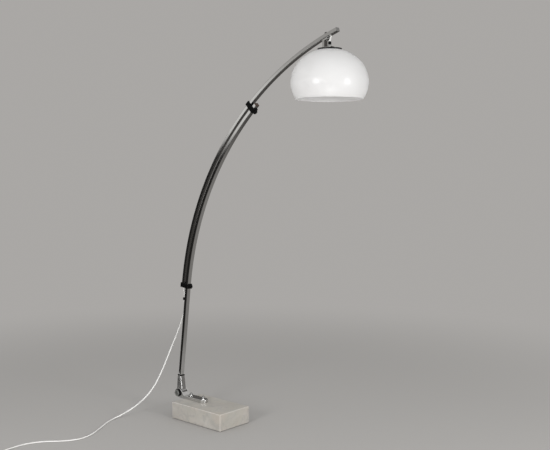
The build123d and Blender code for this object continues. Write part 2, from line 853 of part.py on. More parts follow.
lead_start = station(lead_start_angle, upper_radius)
lead_turn = beside(lead_hole_angle, lead_side)
head_lead_points = [
    lead_start.origin,
    lead_start.origin + lead_start.z_dir * lead_run,
    beside(lead_bend_angle, lead_side),
    lead_turn,
    lead_turn + inward(lead_hole_angle) * (tube_depth / 2 + lead_exit),
    Vector(head_x, 0, grip_top + lead_drop),
    Vector(head_x, 0, grip_top),
]
finish(cord_tube("head_lead", head_lead_points), "head_lead")


coil_pitch = 2 * cord_radius + coil_side_gap
coil_layer = 2 * cord_radius + coil_layer_gap


# Coil: loops spiral in along the floor, climb a layer as they turn back, and spiral out on top
def coil_point(turn):
    angle = math.radians(coil_start_angle) + 2 * math.pi * (turn + coil_turns_in)
    radius = coil_inner_radius + coil_pitch * abs(turn)
    climb = min(max(2 * turn + 0.5, 0), 1)
    height = cord_radius + coil_floor_gap + coil_layer * climb * climb * (3 - 2 * climb)
    x, y = coil_centre
    return Vector(x + radius * math.cos(angle), y + radius * math.sin(angle), height)


def coil_direction(turn):
    step = 0.02
    return (coil_point(turn + step) - coil_point(turn - step)).normalized()


# Two tangent arcs between two points with given directions
def biarc(start, start_direction, end, end_direction):
    chord = end - start
    both = chord.dot(start_direction + end_direction)
    spread = 2 * (1 - start_direction.dot(end_direction))
    reach = (math.sqrt(both**2 + spread * chord.dot(chord)) - both) / spread
    first = start + start_direction * reach
    second = end - end_direction * reach
    TangentArc(start, (first + second) / 2, tangent=start_direction)
    TangentArc((first + second) / 2, end, tangent=second - first)


coil_quarters = round(4 * (coil_turns_in + coil_turns_out))
coil_turns = [quarter / 4 - coil_turns_in for quarter in range(coil_quarters + 1)]
coil_first = coil_point(coil_turns[0])
coil_last = coil_point(coil_turns[-1])
coil_heading = coil_direction(coil_turns[0])
tail_heading = Vector(coil_direction(coil_turns[-1]).X, coil_direction(coil_turns[-1]).Y, 0).normalized()
coil_mouth = coil_first - coil_heading * 2 * cord_radius
coil_tail = coil_last + tail_heading * coil_tail_run
with BuildPart() as cord_coil:
    with BuildLine() as coil_path:
        Line(coil_mouth, coil_first)
        for turn, after in zip(coil_turns[:-2], coil_turns[1:]):
            biarc(coil_point(turn), coil_direction(turn), coil_point(after), coil_direction(after))
        biarc(coil_point(coil_turns[-2]), coil_direction(coil_turns[-2]), coil_last, tail_heading)
        Line(coil_last, coil_tail)
    with BuildSketch(Plane(origin=coil_mouth, z_dir=coil_heading)):
        Circle(cord_radius)
    sweep()
finish(cord_coil.part, "cord_coil")

samples = 700
half_loop = math.pi * coil_inner_radius
coil_length = coil_path.wire().length
coil_samples = [coil_path.wire() @ (index / samples) for index in range(samples + 1)]
apart = int(half_loop / coil_length * samples)
least = min(
    (coil_samples[late] - coil_samples[early]).length
    for early in range(samples)
    for late in range(early + apart, samples + 1)
)
coil_ratio = cord_coil.part.volume / (math.pi * cord_radius**2 * coil_length)
print(f"cord_coil: length {coil_length:.0f} mm, volume ratio {coil_ratio:.4f}")
print(f"cord_coil: least gap {least - 2 * cord_radius:.2f} mm")

cord_low = cord_radius + cord_floor_gap
free_cord_points = [
    arm_point(clip_across, clip_bottom),
    arm_point(clip_across, clip_bottom - cord_drop_run),
    Vector(-162, 5, 478),
    Vector(-179, 8, 440),
    Vector(-210, 3, 375),
    Vector(-239, -14, 300),
    Vector(-257, -38, 229),
    Vector(-266, -70, 165),
    Vector(-275, -108, 112),
    Vector(-290, -150, 68),
    Vector(-310, -190, 34),
    Vector(-325, -228, 13),
    Vector(-328, -268, cord_low),
    Vector(-309, -316, cord_low),
    Vector(-278, -366, cord_low),
    Vector(-244, -420, cord_low),
    Vector(-216, -472, cord_low),
    Vector(-206, -518, cord_low),
    Vector(-216, -560, cord_low),
    Vector(-241, -599, cord_low),
    Vector(-272, -630, cord_low),
    Vector(-300, -664, cord_low),
    Vector(-316, -710, cord_low),
    Vector(-318, -758, cord_low),
    coil_mouth - coil_heading * coil_lead_run,
    coil_mouth,
]
finish(cord_tube("free_cord", free_cord_points), "free_cord")

# Tie round the coil's loops, standing across them
tie_angle = coil_start_angle + 360 * (coil_turns_in + tie_turn)
tie_turned = math.radians(tie_angle)
tie_outward = Vector(math.cos(tie_turned), math.sin(tie_turned), 0)
tie_inside = coil_inner_radius - cord_radius - tie_gap
tie_outside = coil_inner_radius + coil_pitch * coil_turns_in + cord_radius + tie_gap
tie_bottom = coil_floor_gap - tie_gap / 2
tie_top = coil_floor_gap + coil_layer + 2 * cord_radius + tie_gap
tie_centre = Vector(*coil_centre, 0) + tie_outward * (tie_inside + tie_outside) / 2
tie_plane = Plane(
    origin=tie_centre + Vector(0, 0, (tie_bottom + tie_top) / 2),
    x_dir=tie_outward,
    z_dir=Vector(tie_outward.Y, -tie_outward.X, 0),
)
with BuildPart() as coil_tie:
    with BuildSketch(tie_plane):
        RectangleRounded(
            tie_outside - tie_inside + 2 * tie_thickness, tie_top - tie_bottom + 2 * tie_thickness, tie_gap
        )
        Rectangle(tie_outside - tie_inside, tie_top - tie_bottom, mode=Mode.SUBTRACT)
    extrude(amount=tie_width / 2, both=True)
finish(coil_tie.part, "coil_tie")

# Plug lying flat beside the coil, its cord entry level with the coil's upper layer
plug_plane = Plane(origin=coil_tail, x_dir=Vector(-tail_heading.Y, tail_heading.X, 0), z_dir=tail_heading)
plug_thickness = 2 * coil_tail.Z
with BuildPart() as cord_relief:
    with BuildSketch(plug_plane):
        Circle(cord_radius + relief_wall)
    with BuildSketch(plug_plane.offset(relief_length)):
        Circle(relief_radius)
    loft(ruled=True)
finish(cord_relief.part, "cord_relief")

with BuildPart() as plug_body:
    with BuildSketch(plug_plane.offset(relief_length)):
        RectangleRounded(plug_shoulder, plug_thickness * 2 / 3, plug_thickness / 4)
    with BuildSketch(plug_plane.offset(relief_length + plug_length * 2 / 3)):
        RectangleRounded(plug_width, plug_thickness, plug_thickness / 4)
    loft(ruled=True)
    with BuildSketch(plug_plane.offset(relief_length + plug_length * 2 / 3)):
        RectangleRounded(plug_width, plug_thickness, plug_thickness / 4)
    extrude(amount=plug_length / 3)
finish(plug_body.part, "plug_body")

with BuildPart() as plug_pins:
    with BuildSketch(plug_plane.offset(relief_length + plug_length)):
        with GridLocations(plug_pin_spacing, 0, 2, 1):
            Circle(plug_pin_radius)
    extrude(amount=plug_pin_length)
    pin_ends = plug_pins.faces().filter_by(plug_plane).group_by(Axis(coil_tail, tail_heading))[-1]
    chamfer(pin_ends.edges(), plug_pin_chamfer)
finish(plug_pins.part, "plug_pins")
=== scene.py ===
import bmesh
import bpy
import json
import math
from mathutils import Matrix, Vector, noise


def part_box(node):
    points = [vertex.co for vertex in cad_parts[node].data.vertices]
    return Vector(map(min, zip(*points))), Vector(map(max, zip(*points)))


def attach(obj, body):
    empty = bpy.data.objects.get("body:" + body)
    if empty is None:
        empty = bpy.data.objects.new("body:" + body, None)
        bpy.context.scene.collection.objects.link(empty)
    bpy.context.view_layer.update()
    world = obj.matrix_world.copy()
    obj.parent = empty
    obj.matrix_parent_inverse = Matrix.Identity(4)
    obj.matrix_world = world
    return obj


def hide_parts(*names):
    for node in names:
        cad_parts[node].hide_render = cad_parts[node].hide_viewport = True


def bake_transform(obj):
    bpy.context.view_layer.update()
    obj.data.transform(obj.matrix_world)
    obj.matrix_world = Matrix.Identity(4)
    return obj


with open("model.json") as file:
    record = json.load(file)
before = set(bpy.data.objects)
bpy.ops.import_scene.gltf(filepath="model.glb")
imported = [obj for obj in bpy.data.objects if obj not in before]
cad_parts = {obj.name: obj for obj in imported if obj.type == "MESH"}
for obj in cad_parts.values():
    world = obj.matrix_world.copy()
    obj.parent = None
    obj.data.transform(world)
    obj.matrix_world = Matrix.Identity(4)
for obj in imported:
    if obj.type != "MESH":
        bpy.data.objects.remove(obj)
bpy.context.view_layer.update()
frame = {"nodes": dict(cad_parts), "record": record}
nodes = frame["nodes"]
scene = bpy.context.scene
scene.view_settings.view_transform = "Standard"
weld = 1e-6  # points nearer than this are one point
print("frame loaded with", len(nodes), "nodes")

photoCamera = {
    "place": (2.5957, -2.4834, 1.1036),
    "facing": (-0.6644, 0.7442, -0.0694),
    "lens": 54.757,
    "sensor": 36.0,
    "clip": (0.05, 120.0),
}

cameraData = bpy.data.cameras.new("photoCamera")
cameraData.lens = photoCamera["lens"]
cameraData.sensor_width = photoCamera["sensor"]
cameraData.clip_start, cameraData.clip_end = photoCamera["clip"]
camera = bpy.data.objects.new("photoCamera", cameraData)
camera.location = photoCamera["place"]
camera.rotation_mode = "QUATERNION"
camera.rotation_quaternion = Vector(photoCamera["facing"]).to_track_quat("-Z", "Y")
scene.collection.objects.link(camera)
scene.camera = camera

softBoxes = {
    "leftBox": {"place": (0.66, -3.2, 1.28), "aim": (0.5, 0.0, 1.1), "size": (0.9, 0.9), "watts": 43},
    "rightBox": {"place": (3.66, 0.02, 1.23), "aim": (0.5, 0.0, 1.1), "size": (0.9, 0.9), "watts": 43},
    "topBox": {"place": (0.2, -0.5, 4.2), "aim": (0.2, 0.0, 0.0), "size": (3.0, 3.0), "watts": 4},
    "lowBox": {"place": (1.7, -1.15, 0.16), "aim": (0.65, 0.0, 1.38), "size": (1.2, 0.36), "watts": 9},
}


def softLight(name, box):
    data = bpy.data.lights.new(name, "AREA")
    data.shape = "RECTANGLE"
    data.size, data.size_y = box["size"]
    data.energy = box["watts"]
    light = bpy.data.objects.new(name, data)
    light.location = box["place"]
    light.rotation_mode = "QUATERNION"
    light.rotation_quaternion = (Vector(box["aim"]) - Vector(box["place"])).to_track_quat("-Z", "Y")
    scene.collection.objects.link(light)


for name, box in softBoxes.items():
    softLight(name, box)


class Wire:  # a socket that takes part in Python arithmetic, each step a Math node
    def __init__(self, finish, socket):
        self.finish = finish
        self.socket = socket

    def maths(self, operation, first, second=0.0):
        return self.finish.node("ShaderNodeMath", {"operation": operation}, {0: first, 1: second})

    def __add__(self, other):
        return self.maths("ADD", self, other)

    def __radd__(self, other):
        return self.maths("ADD", other, self)

    def __sub__(self, other):
        return self.maths("SUBTRACT", self, other)

    def __rsub__(self, other):
        return self.maths("SUBTRACT", other, self)

    def __mul__(self, other):
        return self.maths("MULTIPLY", self, other)

    def __rmul__(self, other):
        return self.maths("MULTIPLY", other, self)

    def __abs__(self):
        return self.maths("ABSOLUTE", self)

    def atLeast(self, other):
        return self.maths("MAXIMUM", self, other)

    def atMost(self, other):
        return self.maths("MINIMUM", self, other)

    def above(self, level):
        return (self - level).atLeast(0.0)

    def line(self, level, sharpness):  # 1 where the value crosses the level, 0 a little to either side
        return (1.0 - abs(self - level) * sharpness).atLeast(0.0)


class Finish:
    def __init__(self, name, tree=None):
        self.material = None
        if tree is None:
            self.material = bpy.data.materials.new(name)
            self.material.use_nodes = True
            tree = self.material.node_tree
        self.tree = tree
        self.tree.nodes.clear()

    def node(self, kind, settings, values, output=0):
        made = self.tree.nodes.new(kind)
        for key, value in settings.items():
            if key == "stops":
                ramp = made.color_ramp
                ramp.elements.remove(ramp.elements[1])
                for index, (spot, colour) in enumerate(value):
                    stop = ramp.elements[0] if index == 0 else ramp.elements.new(spot)
                    stop.position = spot
                    stop.color = (*colour, 1.0)
            else:
                setattr(made, key, value)
        for key, value in values.items():
            if isinstance(key, int):
                target = made.inputs[key]
            else:
                target = next(socket for socket in made.inputs if socket.name == key and socket.enabled)
            if isinstance(value, Wire):
                self.tree.links.new(value.socket, target)
            elif target.type == "RGBA" and len(value) == 3:
                target.default_value = (*value, 1.0)
            else:
                target.default_value = value
        if isinstance(output, str):
            return Wire(self, made.outputs[output])
        live = [socket for socket in made.outputs if socket.enabled]
        return Wire(self, live[output]) if live else None

    def place(self):
        return self.node("ShaderNodeTexCoord", {}, {}, "Object")

    def mapped(self, scale=(1.0, 1.0, 1.0), turn=(0.0, 0.0, 0.0), shift=(0.0, 0.0, 0.0)):
        values = {"Vector": self.place(), "Scale": scale, "Rotation": turn, "Location": shift}
        return self.node("ShaderNodeMapping", {}, values)

    def grain(self, scale, detail=4.0, rough=0.55, warp=0.0, vector=None):
        values = {"Scale": scale, "Detail": detail, "Roughness": rough, "Distortion": warp}
        values["Vector"] = vector or self.place()
        return self.node("ShaderNodeTexNoise", {}, values, "Fac")

    def ramp(self, factor, stops):
        return self.node("ShaderNodeValToRGB", {"stops": stops}, {"Fac": factor}, "Color")

    def blend(self, factor, first, second):
        values = {"Factor": factor, "A": first, "B": second}
        return self.node("ShaderNodeMix", {"data_type": "RGBA"}, values)

    def eased(self, value, start, end):
        values = {"Value": value, "From Min": start, "From Max": end}
        return self.node("ShaderNodeMapRange", {"interpolation_type": "SMOOTHSTEP"}, values)

    def bump(self, height, strength, distance):
        values = {"Height": height, "Strength": strength, "Distance": distance}
        return self.node("ShaderNodeBump", {}, values, "Normal")

    def surface(self, values):
        shader = self.node("ShaderNodeBsdfPrincipled", {}, values)
        self.node("ShaderNodeOutputMaterial", {}, {"Surface": shader})
        return self.material


room = {
    "paper": (0.40, 0.388, 0.375),
    "fill": 0.62,
    "wallLow": (0.085, 0.080, 0.076),
    "wallHigh": (0.62, 0.61, 0.60),
    "wallRise": (0.30, 0.75),
    "dark": (0.018, 0.017, 0.016),
    "glow": (0.80, 0.79, 0.77),
    "openHeading": (-0.66, -0.75, 0.0),  # the studio's dark side, left of the camera's view
    "openSpan": (0.55, 0.85),
    "glowRise": (0.015, 0.05),
    "glowFall": (0.075, 0.14),
    "floorTone": (0.44, 0.428, 0.413),
    "floorRadius": 16.0,
    "floorSides": 96,
    "floorFade": (1.0, 3.2),
    "floorSeen": (0.30, 0.90),  # how far out metal still shows the paper
    "litHeading": (0.72, 0.69, 0.0),  # a painted pool of light on the floor to the right of the lamp, seen by metal
    "litSpan": (0.82, 0.96),
    "litTone": (0.25, 0.24, 0.23),
}


def facing(paint, heading, direction):
    values = {0: heading, 1: direction}
    return paint.node("ShaderNodeVectorMath", {"operation": "DOT_PRODUCT"}, values, "Value")


def rays(paint, kind):
    return paint.node("ShaderNodeLightPath", {}, {}, kind)


def openSide(paint, heading):
    return paint.eased(facing(paint, heading, room["openHeading"]), *room["openSpan"])


def makeWorld():  # paper to the camera, dark walls with one lit band to metal, an even fill to the rest
    world = bpy.data.worlds.new("studio")
    scene.world = world
    world.use_nodes = True
    sky = Finish("studio", world.node_tree)
    heading = sky.node("ShaderNodeTexCoord", {}, {}, "Generated")
    side = openSide(sky, heading)
    height = facing(sky, heading, (0.0, 0.0, 1.0))
    above = sky.eased(height, *room["glowRise"])
    lit = above * (1.0 - sky.eased(height, *room["glowFall"]))
    colour = sky.blend(sky.eased(height, *room["wallRise"]), room["wallLow"], room["wallHigh"])
    colour = sky.blend(side, colour, sky.blend(above, room["dark"], room["paper"]))
    colour = sky.blend(side * lit, colour, room["glow"])
    walls = sky.node("ShaderNodeBackground", {}, {"Color": colour})
    paper = sky.node("ShaderNodeBackground", {}, {"Color": room["paper"]})
    fill = sky.node("ShaderNodeBackground", {}, {"Color": (1.0, 1.0, 1.0), "Strength": room["fill"]})
    seen = sky.node("ShaderNodeMixShader", {}, {0: rays(sky, "Is Camera Ray"), 1: fill, 2: paper})
    mirrored = rays(sky, "Is Glossy Ray").atLeast(rays(sky, "Is Transmission Ray"))
    both = sky.node("ShaderNodeMixShader", {}, {0: mirrored, 1: seen, 2: walls})
    sky.node("ShaderNodeOutputWorld", {}, {"Surface": both})


def makeFloor():
    mesh = bmesh.new()
    bmesh.ops.create_circle(mesh, cap_ends=True, segments=room["floorSides"], radius=room["floorRadius"])
    data = bpy.data.meshes.new("studioFloor")
    mesh.to_mesh(data)
    mesh.free()
    floor = bpy.data.objects.new("studioFloor", data)
    scene.collection.objects.link(floor)
    paint = Finish("floorPaper")
    spot = paint.place()
    reach = paint.node("ShaderNodeVectorMath", {"operation": "LENGTH"}, {0: spot}, "Value")
    heading = paint.node("ShaderNodeVectorMath", {"operation": "NORMALIZE"}, {0: spot}, "Vector")
    near = paint.node("ShaderNodeBsdfDiffuse", {}, {"Color": room["floorTone"]})
    far = paint.node("ShaderNodeEmission", {}, {"Color": room["paper"]})
    fade = paint.eased(reach, *room["floorFade"])
    sheet = paint.node("ShaderNodeMixShader", {}, {0: fade, 1: near, 2: far})
    # metal sees the floor as an emitted dim tone with a painted pool of light to the right of the lamp
    lit = paint.eased(facing(paint, heading, room["litHeading"]), *room["litSpan"])
    tone = paint.blend(openSide(paint, heading), room["wallLow"], room["dark"])
    tone = paint.blend(lit, tone, room["litTone"])
    dim = paint.node("ShaderNodeEmission", {}, {"Color": tone})
    mirrored = rays(paint, "Is Glossy Ray") * paint.eased(reach, *room["floorSeen"])
    both = paint.node("ShaderNodeMixShader", {}, {0: mirrored, 1: sheet, 2: dim})
    paint.node("ShaderNodeOutputMaterial", {}, {"Surface": both})
    data.materials.append(paint.material)
    unlit = bpy.data.collections.new("lowBoxSkips")  # the low box lights the lamp and not the paper
    unlit.objects.link(floor)
    unlit.collection_objects[0].light_linking.link_state = "EXCLUDE"
    bpy.data.objects["lowBox"].light_linking.receiver_collection = unlit


makeWorld()
makeFloor()
print("camera, lights and floor set")

armShape = {
    "hinge": Vector((-0.184, 0.0, 0.094)),
    "lean": 7.0,
    "setback": 0.012,
    "straight": 0.4865,
    "lowerRadius": 1.214,
    "upperRadius": 1.238,
}


def alongArc(angle):
    turn = math.radians(angle)
    return Vector((math.sin(turn), 0.0, math.cos(turn)))


def towardCentre(angle):
    turn = math.radians(angle)
    return Vector((math.cos(turn), 0.0, -math.sin(turn)))


armFoot = armShape["hinge"] - towardCentre(armShape["lean"]) * armShape["setback"]
arcCentre = armFoot + alongArc(armShape["lean"]) * armShape["straight"]
arcCentre += towardCentre(armShape["lean"]) * armShape["lowerRadius"]


def onArc(angle, radius, side=0.0):
    return arcCentre - towardCentre(angle) * radius + Vector((0.0, side, 0.0))


def onArm(across, height):
    return armFoot + towardCentre(armShape["lean"]) * across + alongArc(armShape["lean"]) * height


def scaled(colour, gain, lift=0.0):
    return tuple(min(1.0, gain * part + lift) for part in colour)


def plasticFinish(name, colour, rough, pores=900.0, scuff=0.3, gloss=0.5):
    paint = Finish(name)
    mottle = paint.grain(55.0)
    skin = paint.grain(pores, detail=2.0)
    rubbed = paint.grain(120.0, detail=5.0, rough=0.7).above(0.58) * 4.0 * scuff
    lighter = scaled(colour, 1.35, lift=0.002)
    worn = scaled(colour, 1.6, lift=0.012)
    return paint.surface(
        {
            "Base Color": paint.blend(rubbed, paint.blend(mottle, colour, lighter), worn),
            "Roughness": rough + 0.16 * mottle + 0.2 * rubbed,
            "Specular IOR Level": gloss,
            "Normal": paint.bump(skin, strength=0.14, distance=0.0003),
        }
    )


def metalFinish(name, colour, rough, along=(1.0, 1.0, 9.0)):
    paint = Finish(name)
    brushed = paint.grain(160.0, detail=3.0, rough=0.5, vector=paint.mapped(along))
    stain = paint.grain(34.0)
    darker = scaled(colour, 0.68)
    return paint.surface(
        {
            "Base Color": paint.blend(stain * 0.5 + brushed * 0.3, colour, darker),
            "Metallic": 1.0,
            "Roughness": rough + 0.18 * brushed,
            "Normal": paint.bump(brushed, strength=0.06, distance=0.0002),
        }
    )


chrome = {"bright": (0.70, 0.70, 0.695), "soft": (0.60, 0.60, 0.59), "pitted": (0.22, 0.18, 0.15)}


def chromeFinish(name, rough):
    paint = Finish(name)
    smear = paint.grain(26.0, detail=5.0, rough=0.6)
    haze = paint.grain(9.0, detail=3.0).above(0.5) * 0.5
    pits = (paint.grain(520.0, detail=2.0, rough=0.4).above(0.77) * 6.0).atMost(0.5)
    plate = paint.blend(smear, chrome["bright"], chrome["soft"])
    ripple = paint.grain(40.0, detail=3.0)
    return paint.surface(
        {
            "Base Color": paint.blend(pits, plate, chrome["pitted"]),
            "Metallic": 1.0,
            "Roughness": rough + 0.05 * smear + 0.06 * haze + 0.1 * pits,
            "Normal": paint.bump(ripple, strength=0.004, distance=0.0002),
        }
    )


blockShape = {
    "cuts": 34,
    "edge": 0.0020,
    "edgeSteps": 3,
    "wear": 0.0007,
    "wearCore": 0.0005,
    "wearReach": 0.004,
    "wearScale": 70.0,
    "wearBias": 0.1,
    "chipScale": 260.0,
    "chipShare": 0.6,
    "sharp": 70.0,
}


def blockEdges(paint):  # 1 on the block's edges, falling to 0 a few millimetres in, for edges that are worn and carry a painted highlight
    low, high = (Vector(corner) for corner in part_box("marble_block"))
    spot = paint.mapped(shift=-(low + high) / 2)
    half = (high - low) / 2
    insets = []
    for axis in range(3):
        direction = tuple(float(axis == other) for other in range(3))
        insets.append(half[axis] - abs(facing(paint, spot, direction)))
    across, along, up = insets
    nearest = across.atLeast(along).atMost(along.atLeast(up)).atMost(across.atLeast(up))
    return 1.0 - paint.eased(nearest, blockShape["wearCore"], blockShape["wearReach"])


marble = {
    "bedding": (0.35, 0.5, 0.4),
    "drift": (0.10, 0.10, 0.10),
    "body": [(0.28, (0.38, 0.352, 0.316)), (0.5, (0.442, 0.416, 0.377)), (0.72, (0.506, 0.485, 0.45))],
    "warm": (0.46, 0.401, 0.325),
    "broadVein": (0.352, 0.365, 0.326),
    "fineVein": (0.255, 0.255, 0.255),
    "pale": (0.515, 0.496, 0.468),
    "crystal": (0.57, 0.56, 0.54),
    # edge tone: partly worn stone, partly a painted highlight along the edges
    "worn": (0.68, 0.66, 0.63),
}


def marbleFinish():
    paint = Finish("greyMarble")
    spot = paint.mapped(turn=marble["bedding"])
    drift = paint.node("ShaderNodeTexNoise", {}, {"Vector": spot, "Scale": 9.0, "Detail": 5.0}, "Color")
    values = {0: drift, 1: marble["drift"], 2: spot}
    bent = paint.node("ShaderNodeVectorMath", {"operation": "MULTIPLY_ADD"}, values, "Vector")
    clouds = paint.grain(12.0, detail=6.0, rough=0.6, warp=0.4, vector=bent)
    warmth = paint.grain(6.5, detail=3.0, rough=0.5, warp=0.2, vector=bent)
    crystals = paint.grain(420.0, detail=3.0)
    patches = paint.grain(55.0, rough=0.6, warp=0.3, vector=bent)
    fineVein = paint.grain(15.0, rough=0.5, warp=0.8, vector=bent).line(0.5, 34.0)
    broadVein = paint.grain(7.0, detail=3.0, rough=0.5, warp=0.5, vector=bent).line(0.52, 12.0)
    # lighter edges: partly wear, partly a painted highlight where the edges catch light
    worn = blockEdges(paint) * (0.35 + 0.65 * patches)
    body = paint.ramp(clouds, marble["body"])
    body = paint.blend(warmth.above(0.44) * 2.2, body, marble["warm"])
    body = paint.blend(broadVein * 0.3, body, marble["broadVein"])
    body = paint.blend(fineVein * 0.4, body, marble["fineVein"])
    body = paint.blend(patches.above(0.5) * 0.8, body, marble["pale"])
    body = paint.blend(crystals * 0.16, body, marble["crystal"])
    body = paint.blend(worn * 0.45, body, marble["worn"])
    return paint.surface(
        {
            "Base Color": body,
            "Roughness": 0.32 + 0.2 * clouds + 0.12 * crystals + 0.2 * worn,
            "Normal": paint.bump(crystals + clouds * 0.6, strength=0.09, distance=0.0006),
        }
    )


opal = {"thin": (0.955, 0.953, 0.952), "milky": (0.975, 0.973, 0.972), "letThrough": 0.5}


def opalFinish():  # milky acrylic, an even mix of a glossy front and a translucent body
    paint = Finish("opalAcrylic")
    milk = paint.grain(6.0, detail=3.0)
    dust = paint.grain(150.0, detail=3.0)
    colour = paint.blend(milk, opal["thin"], opal["milky"])
    swell = paint.bump(paint.grain(18.0, detail=2.0), strength=0.01, distance=0.001)
    values = {"Base Color": colour, "Roughness": 0.19 + 0.08 * dust, "Normal": swell}
    front = paint.node("ShaderNodeBsdfPrincipled", {}, values)
    behind = paint.node("ShaderNodeBsdfTranslucent", {}, {"Color": colour})
    both = paint.node("ShaderNodeMixShader", {}, {0: opal["letThrough"], 1: front, 2: behind})
    paint.node("ShaderNodeOutputMaterial", {}, {"Surface": both})
    return paint.material


def lacquerFinish():
    paint = Finish("blackLacquer")
    dust = paint.grain(220.0, detail=3.0)
    return paint.surface(
        {
            "Base Color": paint.blend(dust, (0.008, 0.008, 0.009), (0.024, 0.024, 0.024)),
            "Roughness": 0.24 + 0.16 * dust,
            "Specular IOR Level": 0.2,
            "Normal": paint.bump(paint.grain(500.0, detail=2.0), strength=0.05, distance=0.0003),
        }
    )


def feltFinish():
    paint = Finish("footFelt")
    tufts = paint.grain(420.0, detail=5.0, rough=0.7)
    return paint.surface(
        {
            "Base Color": paint.blend(tufts, (0.17, 0.16, 0.15), (0.27, 0.26, 0.24)),
            "Roughness": 0.86 + 0.12 * tufts,
            "Normal": paint.bump(tufts, strength=0.6, distance=0.001),
        }
    )


def sheathFinish():
    paint = Finish("cordSheath")
    mottle = paint.grain(70.0)
    handled = paint.grain(14.0, detail=3.0).above(0.52) * 1.8
    tint = paint.blend(mottle, (0.78, 0.77, 0.75), (0.86, 0.855, 0.84))
    return paint.surface(
        {
            "Base Color": paint.blend(handled, tint, (0.66, 0.64, 0.60)),
            "Roughness": 0.40 + 0.18 * mottle,
            "Normal": paint.bump(paint.grain(900.0, detail=2.0), strength=0.12, distance=0.0004),
        }
    )


def bulbFinish():
    paint = Finish("frostedBulb")
    frost = paint.grain(300.0, detail=3.0)
    return paint.surface(
        {
            "Base Color": paint.blend(frost, (0.82, 0.81, 0.78), (0.88, 0.875, 0.85)),
            "Roughness": 0.28 + 0.14 * frost,
            "Normal": paint.bump(frost, strength=0.04, distance=0.0003),
        }
    )


finishes = {
    "stone": marbleFinish(),
    "felt": feltFinish(),
    "chrome": chromeFinish("oldChrome", 0.045),
    "worn_chrome": chromeFinish("wornChrome", 0.17),
    "steel": metalFinish("satinSteel", (0.37, 0.37, 0.365), 0.40),
    "black_plastic": plasticFinish("blackPlastic", (0.0025, 0.0025, 0.0025), 0.42, scuff=0.15, gloss=0.08),
    "dark_steel": metalFinish("darkSteel", (0.10, 0.095, 0.09), 0.32),
    "wheel_ring": metalFinish("wheelRing", (0.56, 0.58, 0.56), 0.22, (1.0, 9.0, 1.0)),
    "brown_plastic": plasticFinish("brownPlastic", (0.055, 0.034, 0.022), 0.4),
    "black_lacquer": lacquerFinish(),
    "opal": opalFinish(),
    "rubber": plasticFinish("blackRubber", (0.018, 0.018, 0.018), 0.66),
    "porcelain": plasticFinish("porcelain", (0.70, 0.69, 0.65), 0.12, pores=300.0, scuff=0.1),
    "brass": metalFinish("agedBrass", (0.70, 0.54, 0.27), 0.22),
    "bulb_glass": bulbFinish(),
    "cord_sheath": sheathFinish(),
    "wire_sheath": plasticFinish("wireSheath", (0.16, 0.24, 0.46), 0.4),
    "tie": plasticFinish("coilTie", (0.62, 0.62, 0.60), 0.4),
}

slotOf = {part["node"]: part["material_slot"] for part in frame["record"]["subparts"]}
for node, slotName in slotOf.items():
    nodes[node].data.materials.clear()
    nodes[node].data.materials.append(finishes[slotName])
print("finishes on", len(slotOf), "nodes")


def dress(piece, slotName, body, *stoodFor, finish=None):
    piece.data.materials.clear()
    piece.data.materials.append(finishes[finish or slotName])
    if body:
        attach(piece, body)
    if stoodFor:
        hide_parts(*stoodFor)
    return piece


def pieceFrom(name, mesh, sharp=35.0):
    for face in mesh.faces:
        face.smooth = True
    for edge in mesh.edges:
        edge.smooth = edge.calc_face_angle(0.0) < math.radians(sharp)
    data = bpy.data.meshes.new(name)
    mesh.to_mesh(data)
    mesh.free()
    piece = bpy.data.objects.new(name, data)
    scene.collection.objects.link(piece)
    return piece


def onlyVerts(made):
    return [part for part in made if isinstance(part, bmesh.types.BMVert)]


def sharpEdges(mesh, turn=1.0):  # edges where the faces meet at more than this angle, in radians
    return [edge for edge in mesh.edges if edge.calc_face_angle(0.0) > turn]


def roundOff(mesh, edges, width, segments):
    bmesh.ops.bevel(
        mesh, geom=edges, offset=width, segments=segments, profile=0.5, affect="EDGES", material=-1
    )


mainCord = {
    "diameter": 0.0056,
    "length": 2.5,
    "clipAcross": -0.0143,
    "clipBottom": 0.420,
    "firstRun": 0.014,
    "hangAndLie": [
        (-0.162, 0.005, 0.478),
        (-0.179, 0.008, 0.440),
        (-0.207, 0.006, 0.375),
        (-0.235, -0.010, 0.300),
        (-0.252, -0.033, 0.229),
        (-0.259, -0.064, 0.165),
        (-0.266, -0.100, 0.112),
        (-0.281, -0.142, 0.068),
        (-0.304, -0.185, 0.034),
        (-0.323, -0.226, 0.013),
        (-0.328, -0.268, 0.003),
        (-0.309, -0.316, 0.003),
        (-0.278, -0.366, 0.003),
        (-0.244, -0.420, 0.003),
        (-0.216, -0.472, 0.003),
        (-0.206, -0.518, 0.003),
        (-0.216, -0.560, 0.003),
        (-0.241, -0.599, 0.003),
        (-0.272, -0.630, 0.003),
        (-0.300, -0.664, 0.003),
        (-0.316, -0.710, 0.003),
        (-0.318, -0.758, 0.003),
    ],
    "touchDown": (-0.328, -0.268, 0.003),
    "coilCentre": (-0.250, -0.858),
    "coilStart": 205.0,
    "coilInner": 0.0202,
    "pitch": 0.0062,
    "layer": 0.0061,
    "lift": 0.0009,
    "turnsIn": 3.25,
    "turnsOut": 3.0,
    "pointsPerTurn": 16,
    "leadRun": 0.034,
    "tailRun": 0.022,
    "headingStep": 0.02,
}


def coilPoint(turn):  # winds in on the floor, climbs one layer in half a turn at turn 0, and winds out
    angle = math.radians(mainCord["coilStart"]) + 2 * math.pi * (turn + mainCord["turnsIn"])
    radius = mainCord["coilInner"] + mainCord["pitch"] * abs(turn)
    climb = min(max(2 * turn + 0.5, 0.0), 1.0)
    lowest = mainCord["diameter"] / 2 + mainCord["lift"]
    height = lowest + mainCord["layer"] * climb * climb * (3 - 2 * climb)
    x, y = mainCord["coilCentre"]
    return Vector((x + radius * math.cos(angle), y + radius * math.sin(angle), height))


def coilHeading(turn):
    step = mainCord["headingStep"]
    return (coilPoint(turn + step) - coilPoint(turn - step)).normalized()


